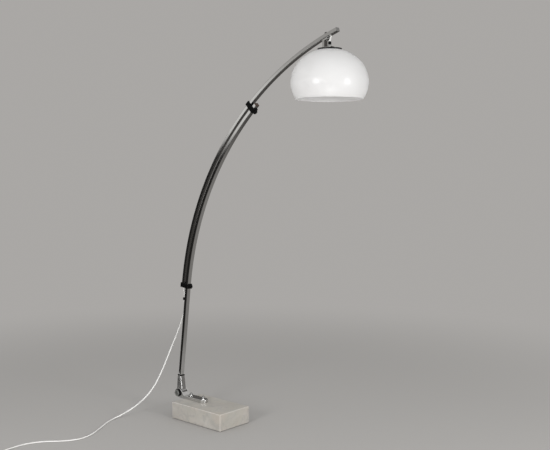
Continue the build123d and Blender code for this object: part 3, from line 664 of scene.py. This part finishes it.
tailHeading = coilHeading(mainCord["turnsOut"])
tailHeading.z = 0.0
tailHeading.normalize()
coilTail = coilPoint(mainCord["turnsOut"]) + tailHeading * mainCord["tailRun"]


def mainRoute():
    points = [
        onArm(mainCord["clipAcross"], mainCord["clipBottom"]),
        onArm(mainCord["clipAcross"], mainCord["clipBottom"] - mainCord["firstRun"]),
    ]
    points += [Vector(point) for point in mainCord["hangAndLie"]]
    first, last = -mainCord["turnsIn"], mainCord["turnsOut"]
    mouth = coilPoint(first) - coilHeading(first) * mainCord["diameter"]
    points += [mouth - coilHeading(first) * mainCord["leadRun"], mouth]
    steps = round((last - first) * mainCord["pointsPerTurn"])
    points += [coilPoint(first + step / mainCord["pointsPerTurn"]) for step in range(steps + 1)]
    points += [coilTail - tailHeading * mainCord["tailRun"] / 2, coilTail]
    return points


cordMesh = {"stepsPerPoint": 8, "order": 3, "roundSteps": 4}


def cordAlong(name, route):  # a round sheath along one NURBS line, and the line's own points
    data = bpy.data.curves.new(name, "CURVE")
    data.dimensions = "3D"
    data.resolution_u = cordMesh["stepsPerPoint"]
    spline = data.splines.new("NURBS")
    spline.points.add(len(route) - 1)
    for point, spot in zip(spline.points, route):
        point.co = (*spot, 1.0)
    spline.order_u = cordMesh["order"]
    spline.use_endpoint_u = True
    curve = bpy.data.objects.new(name + "Line", data)
    scene.collection.objects.link(curve)

    def meshNow():
        bpy.context.view_layer.update()
        return bpy.data.meshes.new_from_object(curve.evaluated_get(bpy.context.evaluated_depsgraph_get()))

    line = meshNow()
    path = [vertex.co.copy() for vertex in line.vertices]
    data.bevel_depth = mainCord["diameter"] / 2
    data.bevel_resolution = cordMesh["roundSteps"]
    data.use_fill_caps = True
    tube = meshNow()
    tube.name = name
    for polygon in tube.polygons:
        polygon.use_smooth = True
    bpy.data.objects.remove(curve)
    bpy.data.meshes.remove(line)
    piece = bpy.data.objects.new(name, tube)
    scene.collection.objects.link(piece)
    return piece, path


plugShape = {
    "reliefLength": 0.024,
    "reliefRadius": 0.005,
    "reliefStart": 0.004,
    "reliefInset": 0.0002,
    "reliefSides": 28,
    "reliefSharp": 60.0,
    "ribs": 6,
    "ribDepth": 0.0007,
    "ribProfile": ((0.1, 0.0), (0.55, 0.0), (0.7, 1.0), (0.95, 1.0)),  # along one rib, into it
    "width": 0.036,
    "length": 0.036,
    "shoulder": 0.014,
    "shoulderThick": 2 / 3,
    "straight": 0.012,
    "round": 0.0042,
    "roundSteps": 4,
    "cornerAngle": 50.0,
    "squareOn": 0.9,  # least part of a face's normal along an axis that it faces
    "gripMinArea": 1.5e-4,
    "gripMargin": 0.005,
    "gripSlope": 0.0006,
    "gripDepth": 0.0008,
}
tailPlace = Matrix.Translation(coilTail) @ Matrix(
    (
        (-tailHeading.y, 0.0, tailHeading.x, 0.0),
        (tailHeading.x, 0.0, tailHeading.y, 0.0),
        (0.0, 1.0, 0.0, 0.0),
        (0.0, 0.0, 0.0, 1.0),
    )
)  # X across the plug, Y up, Z along the cord


def makeRelief():
    facts = plugShape
    mesh = bmesh.new()
    outline = [mesh.verts.new((mainCord["diameter"] / 2 - facts["reliefInset"], 0.0, 0.0))]
    for rib in range(facts["ribs"]):
        for share, dip in facts["ribProfile"]:
            far = (rib + share) / facts["ribs"]
            radius = facts["reliefStart"] + (facts["reliefRadius"] - facts["reliefStart"]) * far
            spot = (radius - facts["ribDepth"] * dip, 0.0, facts["reliefLength"] * far)
            outline.append(mesh.verts.new(spot))
    outline.append(mesh.verts.new((facts["reliefRadius"], 0.0, facts["reliefLength"])))
    for start, end in zip(outline, outline[1:]):
        mesh.edges.new((start, end))
    bmesh.ops.spin(
        mesh,
        geom=mesh.verts[:] + mesh.edges[:],
        cent=(0.0, 0.0, 0.0),
        axis=(0.0, 0.0, 1.0),
        angle=2 * math.pi,
        steps=facts["reliefSides"],
        use_merge=True,
    )
    bmesh.ops.remove_doubles(mesh, verts=mesh.verts[:], dist=weld)
    bmesh.ops.holes_fill(mesh, edges=mesh.edges[:])
    bmesh.ops.recalc_face_normals(mesh, faces=mesh.faces[:])
    bmesh.ops.transform(mesh, matrix=tailPlace, verts=mesh.verts[:])
    relief = pieceFrom("ribbedRelief", mesh, facts["reliefSharp"])
    return dress(relief, "cord_sheath", "base", "cord_relief")


def makePlug():
    facts = plugShape
    thick = 2 * coilTail.z
    taper = facts["length"] - facts["straight"]
    mesh = bmesh.new()
    bmesh.ops.create_cube(mesh, size=1.0)
    bmesh.ops.scale(mesh, vec=(facts["width"], thick, taper), verts=mesh.verts[:])
    bmesh.ops.translate(mesh, vec=(0.0, 0.0, taper / 2), verts=mesh.verts[:])
    cordEnd = [vertex for vertex in mesh.verts if vertex.co.z < weld]
    narrow = (facts["shoulder"] / facts["width"], facts["shoulderThick"], 1.0)
    bmesh.ops.scale(mesh, vec=narrow, verts=cordEnd)
    front = [face for face in mesh.faces if face.normal.z > facts["squareOn"]]
    grown = bmesh.ops.extrude_face_region(mesh, geom=front)["geom"]
    bmesh.ops.translate(mesh, vec=(0.0, 0.0, facts["straight"]), verts=onlyVerts(grown))
    bmesh.ops.delete(mesh, geom=front, context="FACES_ONLY")
    bmesh.ops.recalc_face_normals(mesh, faces=mesh.faces[:])
    corners = sharpEdges(mesh, math.radians(facts["cornerAngle"]))
    roundOff(mesh, corners, facts["round"], facts["roundSteps"])
    large = [face for face in mesh.faces if face.calc_area() > facts["gripMinArea"]]
    for flat in [face for face in large if abs(face.normal.y) > facts["squareOn"]]:
        bmesh.ops.inset_region(mesh, faces=[flat], thickness=facts["gripMargin"], depth=0.0)
        bmesh.ops.inset_region(mesh, faces=[flat], thickness=facts["gripSlope"], depth=0.0)
        down = -math.copysign(facts["gripDepth"], flat.calc_center_median().y)
        bmesh.ops.translate(mesh, vec=(0.0, down, 0.0), verts=flat.verts[:])
    bmesh.ops.recalc_face_normals(mesh, faces=mesh.faces[:])
    bmesh.ops.translate(mesh, vec=(0.0, 0.0, facts["reliefLength"]), verts=mesh.verts[:])
    bmesh.ops.transform(mesh, matrix=tailPlace, verts=mesh.verts[:])
    return dress(pieceFrom("mouldedPlug", mesh), "cord_sheath", "base", "plug_body")


relief = makeRelief()
plug = makePlug()
trailing, trailingPath = cordAlong("trailingCord", mainRoute())
dress(trailing, "cord_sheath", None, "free_cord", "cord_coil")
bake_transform(trailing)

armCord = {"top": 28, "leavesArc": 9, "pastArc": 0.01, "dropTo": 0.4624, "meetsClip": 0.439}


def armRoute():
    tube = armShape["lowerRadius"] - armShape["upperRadius"]
    degrees = range(armCord["top"], armCord["leavesArc"] - 1, -1)
    points = [onArc(angle, armShape["upperRadius"]) for angle in degrees]
    points += [onArm(tube, armShape["straight"] + armCord["pastArc"]), onArm(tube, armCord["dropTo"])]
    points.append(onArm(mainCord["clipAcross"], armCord["meetsClip"]))
    points.append(onArm(mainCord["clipAcross"], mainCord["clipBottom"]))
    return points


armLead = cordAlong("armCord", armRoute())[0]
dress(armLead, "cord_sheath", "lower_arm", "arm_cord")

innerCable = {"stations": (28.0, 32.0, 36.0, 40.0, 44.0, 48.0, 52.0, 56.0, 60.0, 63.0, 66.0)}
tubeRoute = [onArc(angle, armShape["upperRadius"]) for angle in innerCable["stations"]]
tubeLead = cordAlong("innerCable", tubeRoute)[0]
dress(tubeLead, "cord_sheath", "upper_arm", "inner_cable")

headLead = {
    "start": 66.0,
    "run": 0.03,
    "bend": 68.75,
    "hole": 70.24,
    "side": 0.0056,
    "exit": 0.0105,
    "drop": 0.005,
}


def headRoute():
    tube = armShape["upperRadius"]
    low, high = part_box("cord_grip")
    mouth = Vector(((low[0] + high[0]) / 2, 0.0, high[2]))
    start = onArc(headLead["start"], tube)
    turning = onArc(headLead["hole"], tube, headLead["side"])
    return [
        start,
        start + alongArc(headLead["start"]) * headLead["run"],
        onArc(headLead["bend"], tube, headLead["side"]),
        turning,
        turning + towardCentre(headLead["hole"]) * headLead["exit"],
        mouth + Vector((0.0, 0.0, headLead["drop"])),
        mouth,
    ]


shadeLead = cordAlong("shadeLead", headRoute())[0]
dress(shadeLead, "cord_sheath", None, "head_lead")
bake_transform(shadeLead)
trailingLength = sum((end - start).length for start, end in zip(trailingPath, trailingPath[1:]))
print("cords laid, the long one", round(trailingLength, 3), "m")

shadeShape = {
    "across": 0.146,
    "tall": 0.125,
    "around": 144,
    "rings": 96,
    "crownDrop": 0.0065,
    "crownHole": 0.0051,
    "wall": 0.003,
    "rim": 0.0011,
    "rimSteps": 3,
    "sharp": 50.0,
}


def makeShade():
    facts = shadeShape
    low, high = (Vector(corner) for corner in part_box("shade"))
    axis = Vector(((low.x + high.x) / 2, (low.y + high.y) / 2, 0.0))
    middle = high.z + facts["crownDrop"] - facts["tall"]
    mesh = bmesh.new()
    bmesh.ops.create_uvsphere(mesh, u_segments=facts["around"], v_segments=facts["rings"], radius=1.0)
    bmesh.ops.scale(mesh, vec=(facts["across"], facts["across"], facts["tall"]), verts=mesh.verts[:])
    bmesh.ops.translate(mesh, vec=(0.0, 0.0, middle), verts=mesh.verts[:])
    for cut, side in ((low.z, -1.0), (high.z, 1.0)):
        everything = mesh.verts[:] + mesh.edges[:] + mesh.faces[:]
        bmesh.ops.bisect_plane(
            mesh, geom=everything, plane_co=(0.0, 0.0, cut), plane_no=(0.0, 0.0, side), clear_outer=True
        )
    crown = [edge for edge in mesh.edges if edge.is_boundary and edge.verts[0].co.z > middle]
    reach = crown[0].verts[0].co.xy.length
    grown = onlyVerts(bmesh.ops.extrude_edge_only(mesh, edges=crown)["geom"])
    share = facts["crownHole"] / reach
    bmesh.ops.scale(mesh, vec=(share, share, 1.0), verts=grown)
    bmesh.ops.recalc_face_normals(mesh, faces=mesh.faces[:])
    bmesh.ops.solidify(mesh, geom=mesh.faces[:], thickness=facts["wall"])
    bmesh.ops.recalc_face_normals(mesh, faces=mesh.faces[:])
    lip = [edge for edge in sharpEdges(mesh) if edge.verts[0].co.z < middle]
    roundOff(mesh, lip, facts["rim"], facts["rimSteps"])
    bmesh.ops.translate(mesh, vec=axis, verts=mesh.verts[:])
    return dress(pieceFrom("opalShade", mesh, facts["sharp"]), "opal", "head", "shade")


def makeBlock():
    facts = blockShape
    low, high = (Vector(corner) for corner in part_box("marble_block"))
    middle, size = (low + high) / 2, high - low
    mesh = bmesh.new()
    bmesh.ops.create_cube(mesh, size=1.0)
    bmesh.ops.scale(mesh, vec=size, verts=mesh.verts[:])
    bmesh.ops.subdivide_edges(mesh, edges=mesh.edges[:], cuts=facts["cuts"], use_grid_fill=True)
    bmesh.ops.recalc_face_normals(mesh, faces=mesh.faces[:])
    roundOff(mesh, sharpEdges(mesh), facts["edge"], facts["edgeSteps"])
    mesh.normal_update()
    for vertex in mesh.verts:  # corners that knocks and cleaning have rubbed
        inset = sorted(half / 2 - abs(part) for half, part in zip(size, vertex.co))
        if inset[1] < facts["wearReach"]:
            chips = facts["chipShare"] * noise.noise(vertex.co * facts["chipScale"])
            rub = max(0.0, noise.noise(vertex.co * facts["wearScale"]) + chips + facts["wearBias"])
            vertex.co -= vertex.normal * facts["wear"] * rub * (1 - inset[1] / facts["wearReach"])
    bmesh.ops.translate(mesh, vec=middle, verts=mesh.verts[:])
    return dress(pieceFrom("stoneBlock", mesh, facts["sharp"]), "stone", "base", "marble_block")


discShape = {"boreMargin": 1.1, "edgeTurn": 1.2, "edgeSteps": 3}


def flutedDisc(facts):  # a disc on Z=0 with shallow finger flutes round its rim
    mesh = bmesh.new()
    steps = facts["flutes"] * facts["stepsPerFlute"]
    rim = bmesh.ops.create_circle(mesh, segments=steps, radius=facts["radius"])["verts"]
    bmesh.ops.create_circle(mesh, segments=steps, radius=facts["bore"])
    for vertex in rim:
        turn = math.atan2(vertex.co.y, vertex.co.x)
        dip = max(0.0, math.cos(facts["flutes"] * turn)) ** facts["narrow"]
        vertex.co.xy *= 1 - facts["dip"] / facts["radius"] * dip
    bmesh.ops.bridge_loops(mesh, edges=mesh.edges[:])
    back = mesh.faces[:]
    grown = onlyVerts(bmesh.ops.extrude_face_region(mesh, geom=back)["geom"])
    bmesh.ops.translate(mesh, vec=(0.0, 0.0, facts["thick"]), verts=grown)
    bmesh.ops.recalc_face_normals(mesh, faces=mesh.faces[:])
    inside = facts["bore"] * discShape["boreMargin"]
    edges = sharpEdges(mesh, discShape["edgeTurn"])
    level = [edge for edge in edges if abs(edge.verts[0].co.z - edge.verts[1].co.z) < weld]
    outer = [edge for edge in level if edge.verts[0].co.xy.length > inside]
    roundOff(mesh, outer, facts["edge"], discShape["edgeSteps"])
    return mesh


wheelShape = {
    "radius": 0.0156,
    "bore": 0.00505,
    "thick": 0.007,
    "flutes": 12,
    "stepsPerFlute": 12,
    "dip": 0.0013,
    "narrow": 3.0,
    "edge": 0.0009,
}


def makeWheel():
    low, high = (Vector(corner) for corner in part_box("hand_wheel"))
    mesh = flutedDisc(wheelShape)
    place = Matrix.Translation(((low.x + high.x) / 2, high.y, (low.z + high.z) / 2))
    bmesh.ops.transform(mesh, matrix=place @ Matrix.Rotation(math.pi / 2, 4, "X"), verts=mesh.verts[:])
    return dress(pieceFrom("flutedWheel", mesh), "black_plastic", "hand_wheel", "hand_wheel")


knobShape = {
    "radius": 0.009,
    "bore": 0.0031,
    "thick": 0.007,
    "flutes": 8,
    "stepsPerFlute": 14,
    "dip": 0.0010,
    "narrow": 3.0,
    "edge": 0.0011,
    "faceRadius": 1.2002,
    "lid": 0.0036,
    "lidThick": 0.0008,
    "lidTaper": 0.9,
    "lidSides": 48,
    "upperAt": 48.25,
    "lowerAt": 7.0,
}


def makeKnob(name, angle, body, node):
    mesh = flutedDisc(knobShape)
    lid = bmesh.ops.create_cone(
        mesh,
        cap_ends=True,
        segments=knobShape["lidSides"],
        radius1=knobShape["lid"],
        radius2=knobShape["lid"] * knobShape["lidTaper"],
        depth=knobShape["lidThick"] * 2,
    )["verts"]
    bmesh.ops.translate(mesh, vec=(0.0, 0.0, knobShape["thick"] - knobShape["lidThick"]), verts=lid)
    place = Matrix.Translation(onArc(angle, knobShape["faceRadius"]))
    turn = Matrix.Rotation(math.radians(90.0 + angle), 4, "Y")
    bmesh.ops.transform(mesh, matrix=place @ turn, verts=mesh.verts[:])
    return dress(pieceFrom(name, mesh), "black_plastic", body, node)


nutShape = {
    "radius": 0.0075,
    "sides": 6,
    "height": 0.0065,
    "chamfer": 0.0007,
    "chamferSteps": 2,
    "dome": 0.006,
    "domeAround": 48,
    "domeRings": 24,
    "bottom": 0.0886,
    "places": (-0.121, -0.044),
}


def makeNuts():
    facts = nutShape
    mesh = bmesh.new()
    for place in facts["places"]:
        made = bmesh.ops.create_cone(
            mesh,
            cap_ends=True,
            segments=facts["sides"],
            radius1=facts["radius"],
            radius2=facts["radius"],
            depth=facts["height"],
        )["verts"]
        bmesh.ops.translate(mesh, vec=(place, 0.0, facts["bottom"] + facts["height"] / 2), verts=made)
    roundOff(mesh, mesh.edges[:], facts["chamfer"], facts["chamferSteps"])
    for place in facts["places"]:
        ball = bmesh.ops.create_uvsphere(
            mesh, u_segments=facts["domeAround"], v_segments=facts["domeRings"], radius=facts["dome"]
        )["verts"]
        bmesh.ops.translate(mesh, vec=(place, 0.0, facts["bottom"] + facts["height"]), verts=ball)
    return dress(pieceFrom("domeNuts", mesh), "steel", "base", "dome_nuts")


skins = {
    "sharp": 38.0,
    "nodes": (
        "foot_bar",
        "tube_socket",
        "socket_collar",
        "upper_clamp",
        "lower_clamp",
        "head_bracket",
        "shade_cap",
        "wheel_cap",
        "cord_grip",
    ),
    "worn": ("foot_bar", "tube_socket"),  # castings whose chrome has gone dull
}


def evenOut(piece):  # larger faces lead the shading, so that flats stay flat up to their rounded edges
    even = piece.modifiers.new("evenNormals", "WEIGHTED_NORMAL")
    even.keep_sharp = True


def makeSkin(node):  # the node's own faces, joined up and shaded smooth
    mesh = bmesh.new()
    mesh.from_mesh(nodes[node].data)
    bmesh.ops.remove_doubles(mesh, verts=mesh.verts[:], dist=weld)
    first, *rest = node.split("_")
    skin = pieceFrom(first + "".join(word.title() for word in rest) + "Skin", mesh, skins["sharp"])
    evenOut(skin)
    body = next(name for name, held in frame["record"]["behaviour"]["bodies"].items() if node in held)
    return dress(skin, slotOf[node], body, node, finish="worn_chrome" if node in skins["worn"] else None)


tubeShape = {
    "depth": 0.015,
    "width": 0.020,
    "wall": 0.0012,
    "corner": 0.0018,
    "cornerSteps": 6,
    "degreesPerStep": 0.4,
    "seat": 0.030,
    "lowerEnd": 49.4299,
    "upperStart": 6.5327,
    "tip": 72.0,
    "runSteps": 24,
}


def tubeSection(mesh):  # the wall's cut face on Z=0, its depth along X
    facts = tubeShape
    bmesh.ops.create_grid(mesh, x_segments=1, y_segments=1, size=0.5)
    bmesh.ops.scale(mesh, vec=(facts["depth"], facts["width"], 1.0), verts=mesh.verts[:])
    bmesh.ops.bevel(
        mesh,
        geom=mesh.verts[:],
        offset=facts["corner"],
        segments=facts["cornerSteps"],
        profile=0.5,
        affect="VERTICES",
        material=-1,
    )
    core = mesh.faces[:]
    bmesh.ops.inset_region(
        mesh, faces=core, thickness=facts["wall"], use_even_offset=True, use_boundary=True
    )
    bmesh.ops.delete(mesh, geom=core, context="FACES_ONLY")


def makeTube(name, node, body, radius, start, end, run):  # bent round the arc's centre after a straight run
    facts = tubeShape
    mesh = bmesh.new()
    tubeSection(mesh)
    across, heading = towardCentre(start), alongArc(start)
    foot = onArc(start, radius) - heading * run
    place = Matrix((across, (0.0, 1.0, 0.0), heading)).transposed().to_4x4()
    bmesh.ops.transform(mesh, matrix=Matrix.Translation(foot) @ place, verts=mesh.verts[:])
    face = mesh.faces[:]
    for step in range(facts["runSteps"] if run else 0):
        grown = bmesh.ops.extrude_face_region(mesh, geom=face)["geom"]
        if step:
            bmesh.ops.delete(mesh, geom=face, context="FACES_ONLY")
        bmesh.ops.translate(mesh, vec=heading * run / facts["runSteps"], verts=onlyVerts(grown))
        face = [part for part in grown if isinstance(part, bmesh.types.BMFace)]
    steps = round((end - start) / facts["degreesPerStep"])
    turn = math.radians(end - start)
    bmesh.ops.spin(mesh, geom=face, cent=arcCentre, axis=(0.0, 1.0, 0.0), angle=turn, steps=steps)
    if run:  # the face between the run and the bend is inside the wall
        bmesh.ops.delete(mesh, geom=face, context="FACES_ONLY")
    bmesh.ops.recalc_face_normals(mesh, faces=mesh.faces[:])
    tube = pieceFrom(name, mesh, skins["sharp"])
    evenOut(tube)
    return dress(tube, slotOf[node], body, node)


for node in skins["nodes"]:
    makeSkin(node)
makeTube(
    "lowerArm",
    "lower_tube",
    "lower_arm",
    radius=armShape["lowerRadius"],
    start=armShape["lean"],
    end=tubeShape["lowerEnd"],
    run=armShape["straight"] - tubeShape["seat"],
)
makeTube(
    "upperArm",
    "upper_tube",
    "upper_arm",
    radius=armShape["upperRadius"],
    start=tubeShape["upperStart"],
    end=tubeShape["tip"],
    run=0.0,
)
makeShade()
makeBlock()
makeWheel()
makeKnob("upperThumbKnob", knobShape["upperAt"], "upper_knob", "upper_clamp_knob")
makeKnob("lowerThumbKnob", knobShape["lowerAt"], "lower_knob", "lower_clamp_knob")
makeNuts()
print("skins, tubes, shade, block, wheel, knobs and nuts made")
